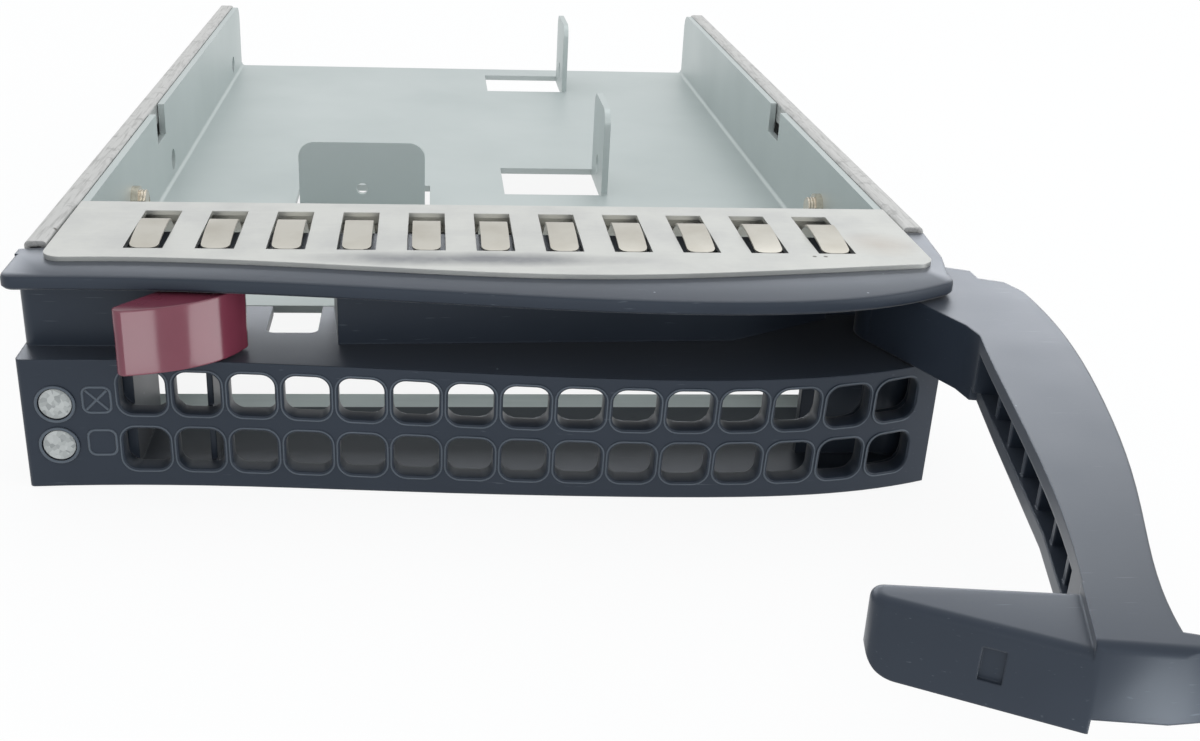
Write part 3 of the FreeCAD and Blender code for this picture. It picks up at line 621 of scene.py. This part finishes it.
def fingerBase():
    s = stripSet
    top, back, fold = bendSet["root"][1], s["back"], s["fold"]
    line = [((s["front"], top), (0, 1)), ((back - fold, top), (0, 1)),
            ((back - fold * s["foldMid"], top - fold * s["foldMid"]), (s["slant"], s["slant"])),
            ((back, top - fold), (1, 0)), ((back, top - s["leg"]), (1, 0))]
    rows = [[(Vector((x, *spot)), Vector((0.0, *out))) for x in (s["left"], s["right"])] for spot, out in line]
    return sheetShell("fingerBase", rows)


def contactFingers():
    tree, given, keys = startTree("contactFingers", fingerSet, ("Finger", "Object"), ("Strip", "Object"))
    finger = put(tree, "GeometryNodeObjectInfo", {"Object": given["Finger"]})
    strip = put(tree, "GeometryNodeObjectInfo", {"Object": given["Strip"]})
    row = put(tree, "GeometryNodeMeshLine", {"Count": given["Count"], "Offset": join(tree, X=given["Pitch"]),
                                             "Start Location": join(tree, X=given["First X"])})
    copies = copied(tree, row.outputs[0], finger.outputs["Geometry"])
    endTree(tree, gathered(tree, copies, strip.outputs["Geometry"]), given["Material"], False)
    parts = {"Finger": bentFinger(), "Strip": fingerBase()}
    values = dict(fingerSet, Material=springTin, **parts)
    piece = grow("contactFingers", tree, keys, values, "tray")
    for seed in parts.values():
        bpy.data.objects.remove(seed)
    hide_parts("spring_finger_strip")


contactFingers()

# plain raised signs beside the two lights: a crossed box and an empty box
signSet = {"Box": 3.1 * mm, "Corner": 0.8 * mm, "Stroke": 0.14 * mm, "Upper X": -44.6 * mm, "Upper Z": 10.8 * mm,
           "Lower X": -44.4 * mm, "Lower Z": 5.5 * mm}
signCut = {"cornerSteps": 5, "strokeSteps": 8, "cross": 0.38}  # the cross reaches this share of the box


def lightSigns():
    tree, given, keys = startTree("lightSigns", signSet, ("Bezel", "Object"))
    box = roundedBox(tree, given["Box"], given["Box"], given["Corner"], signCut["cornerSteps"])
    reach = calc(tree, "MULTIPLY", given["Box"], signCut["cross"])
    back = calc(tree, "MULTIPLY", reach, -1.0)
    bars = [put(tree, "GeometryNodeCurvePrimitiveLine", {"Start": join(tree, X=back, Y=low),
                                                         "End": join(tree, X=reach, Y=high)}).outputs[0]
            for low, high in ((back, reach), (reach, back))]
    upperSpot = join(tree, X=given["Upper X"], Z=given["Upper Z"])
    lowerSpot = join(tree, X=given["Lower X"], Z=given["Lower Z"])
    upper = moved(tree, gathered(tree, box, *bars), Translation=upperSpot, Rotation=standing)
    lower = moved(tree, box, Translation=lowerSpot, Rotation=standing)
    bead = circle(tree, given["Stroke"], signCut["strokeSteps"])
    lines = swept(tree, gathered(tree, upper, lower), bead, **{"Fill Caps": True})
    here = put(tree, "GeometryNodeInputPosition").outputs[0]
    seat = join(tree, Y=frontDepth(tree, given["Bezel"], here))
    placed = put(tree, "GeometryNodeSetPosition", {"Geometry": lines, "Offset": seat})
    endTree(tree, placed.outputs[0], given["Material"])
    # the signs take the paler black, a painted highlight along their strokes
    values = dict(signSet, Bezel=skins["bezel_housing"], Material=rimHighlightAbs)
    grow("lightSigns", tree, keys, values, "tray")


lightSigns()
print("repeated details grown")

# thin ledge that carries the moulding's floor on over the cross plate, seen through the upper holes; in mm
ledgeSet = {"low": (-45.0, -5.3, 0.82), "high": (48.0, 1.7, 1.38), "edge": 0.12, "steps": 2}


def floorLedge():
    low, high = Vector(ledgeSet["low"]), Vector(ledgeSet["high"])
    made = bmesh.new()
    bmesh.ops.create_cube(made, size=1.0)
    for vert in made.verts:
        vert.co = ((low + high) / 2 + Vector(c * d for c, d in zip(vert.co, high - low))) * mm
    bmesh.ops.bevel(made, geom=made.edges[:], offset=ledgeSet["edge"] * mm, segments=ledgeSet["steps"], profile=0.5,
                    affect="EDGES")
    mesh = meshFrom(made, "floorLedge")
    mesh.materials.append(blackAbs)
    piece = show("floorLedge", mesh)
    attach(piece, "tray")


floorLedge()
print("floor ledge laid")

# studio: pale floor that reads as white to the camera under a soft sky; size in m, drop in mm
stageSet = {"floor": "#f4f5f4", "lift": 0.9, "size": 6.0, "drop": 0.2, "sky": "#eef2f6", "skyStrength": 1.0}
white = (1.0, 1.0, 1.0, 1.0)


def seenRays(tree):  # one for rays that show the background, none for those that only light the part
    path = put(tree, "ShaderNodeLightPath").outputs
    seen = calc(tree, "MAXIMUM", path["Is Camera Ray"], path["Is Glossy Ray"])
    return calc(tree, "MAXIMUM", seen, path["Is Transmission Ray"])


def paleFloor():
    mat = bpy.data.materials.new("paleFloor")
    mat.use_nodes = True
    tree = mat.node_tree
    tree.nodes.clear()
    lift = calc(tree, "MULTIPLY", seenRays(tree), stageSet["lift"])
    matte = put(tree, "ShaderNodeBsdfDiffuse", {"Color": tone(stageSet["floor"])})
    glow = put(tree, "ShaderNodeEmission", {"Color": white, "Strength": 1.0})
    mix = put(tree, "ShaderNodeMixShader", {0: lift, 1: matte.outputs[0], 2: glow.outputs[0]})
    put(tree, "ShaderNodeOutputMaterial", {"Surface": mix.outputs[0]})
    return mat


def buildStage():
    s = stageSet["size"] / 2
    mesh = bpy.data.meshes.new("floor")
    mesh.from_pydata([(-s, -s, 0), (s, -s, 0), (s, s, 0), (-s, s, 0)], [], [(0, 1, 2, 3)])
    mesh.materials.append(paleFloor())
    floor = show("floor", mesh)
    floor.location.z = cadLow[2] - stageSet["drop"] * mm
    world = bpy.data.worlds.new("studio")
    world.use_nodes = True
    tree = world.node_tree
    tree.nodes.clear()
    plain = put(tree, "ShaderNodeBackground", {"Color": white, "Strength": 1.0})
    soft = put(tree, "ShaderNodeBackground", {"Color": tone(stageSet["sky"]), "Strength": stageSet["skyStrength"]})
    mix = put(tree, "ShaderNodeMixShader", {0: seenRays(tree), 1: soft.outputs[0], 2: plain.outputs[0]})
    put(tree, "ShaderNodeOutputWorld", {"Surface": mix.outputs[0]})
    scene.world = world


# lamps: name, place in m, aim, width, height, watts
lampSet = [
    ("overhead", (-0.1, 0.1, 0.75), (0.0, 0.05, 0.0), 0.6, 0.6, 0.4),
    ("backHigh", (0.3, 0.35, 0.6), (0.05, -0.06, 0.02), 0.4, 0.4, 0.5),
    ("rightSide", (0.45, -0.25, 0.12), (0.04, -0.02, 0.01), 0.3, 0.3, 0.8),
    ("frontFill", (-0.1, -0.75, 0.16), (0.0, -0.02, 0.015), 0.5, 0.3, 0.4),
]

# flagged lamps, seen by the named skins alone, with their colour: a low panel behind that the black tops mirror,
# two strips that give the polished button its upright bands, a spot on the lever's end
flaggedSet = [
    ("backPanel", (0.05, 0.75, 0.26), (0.02, -0.03, 0.02), 1.0, 0.3, 4.4, "#eef3fb", ("bezel_housing", "lever")),
    ("leftBand", (-0.0285, -0.0571, 0.0047), (-0.0392, -0.0217, 0.02), 0.015, 0.016, 0.0026, "#fffafa",
     ("release_button",)),
    ("rightBand", (0.0012, -0.0332, 0.005), (-0.0322, -0.019, 0.02), 0.0255, 0.016, 0.0043, "#fffafa",
     ("release_button",)),
    ("leverGlint", (0.0495, -0.0944, 0.0105), (0.0422, -0.083, 0.0191), 0.008, 0.008, 0.0018, "#f4f8fa",
     ("lever",)),
]


def hangLamps():
    for name, spot, aim, wide, high, watts, *shown in lampSet + flaggedSet:
        lamp = bpy.data.lights.new(name, "AREA")
        lamp.shape = "RECTANGLE"
        lamp.size = wide
        lamp.size_y = high
        lamp.energy = watts
        hung = show(name, lamp)
        hung.location = spot
        hung.rotation_euler = (Vector(aim) - Vector(spot)).to_track_quat("-Z", "Y").to_euler()
        hung.visible_camera = False
        if shown:
            colour, pieces = shown
            lit = bpy.data.collections.new(name + "Lit")
            for piece in pieces:
                lit.objects.link(skins[piece])
            lamp.color = tone(colour)[:3]
            hung.light_linking.receiver_collection = lit
            if len(pieces) == 1:  # the small spots aren't shaded by their neighbours
                hung.light_linking.blocker_collection = lit


# camera: place in m, turns in radians, focal length and sensor in mm, sideways shift of the frame, near limit in m
cameraSet = {"place": (-0.0075458, -0.1608862, 0.0779930), "yaw": 0.0772032, "pitch": 0.4133789,
             "roll": -0.0333602, "lens": 42.0, "sensor": 36.0, "shift": 0.0592, "near": 0.01}


def setCamera():
    c = cameraSet
    level = math.cos(c["pitch"])
    look = Vector((math.sin(c["yaw"]) * level, math.cos(c["yaw"]) * level, -math.sin(c["pitch"])))
    right = Vector((math.cos(c["yaw"]), -math.sin(c["yaw"]), 0.0))
    down = look.cross(right)
    side = right * math.cos(c["roll"]) + down * math.sin(c["roll"])
    up = right * math.sin(c["roll"]) - down * math.cos(c["roll"])
    data = bpy.data.cameras.new("photoCamera")
    data.lens = c["lens"]
    data.sensor_width = c["sensor"]
    data.shift_x = c["shift"]
    data.clip_start = c["near"]
    camera = show("photoCamera", data)
    turn = Matrix((side, up, -look)).transposed().to_4x4()
    camera.matrix_world = Matrix.Translation(Vector(c["place"])) @ turn
    scene.camera = camera


buildStage()
hangLamps()
setCamera()
scene.view_settings.view_transform = "Standard"
print("stage, lamps and camera set")
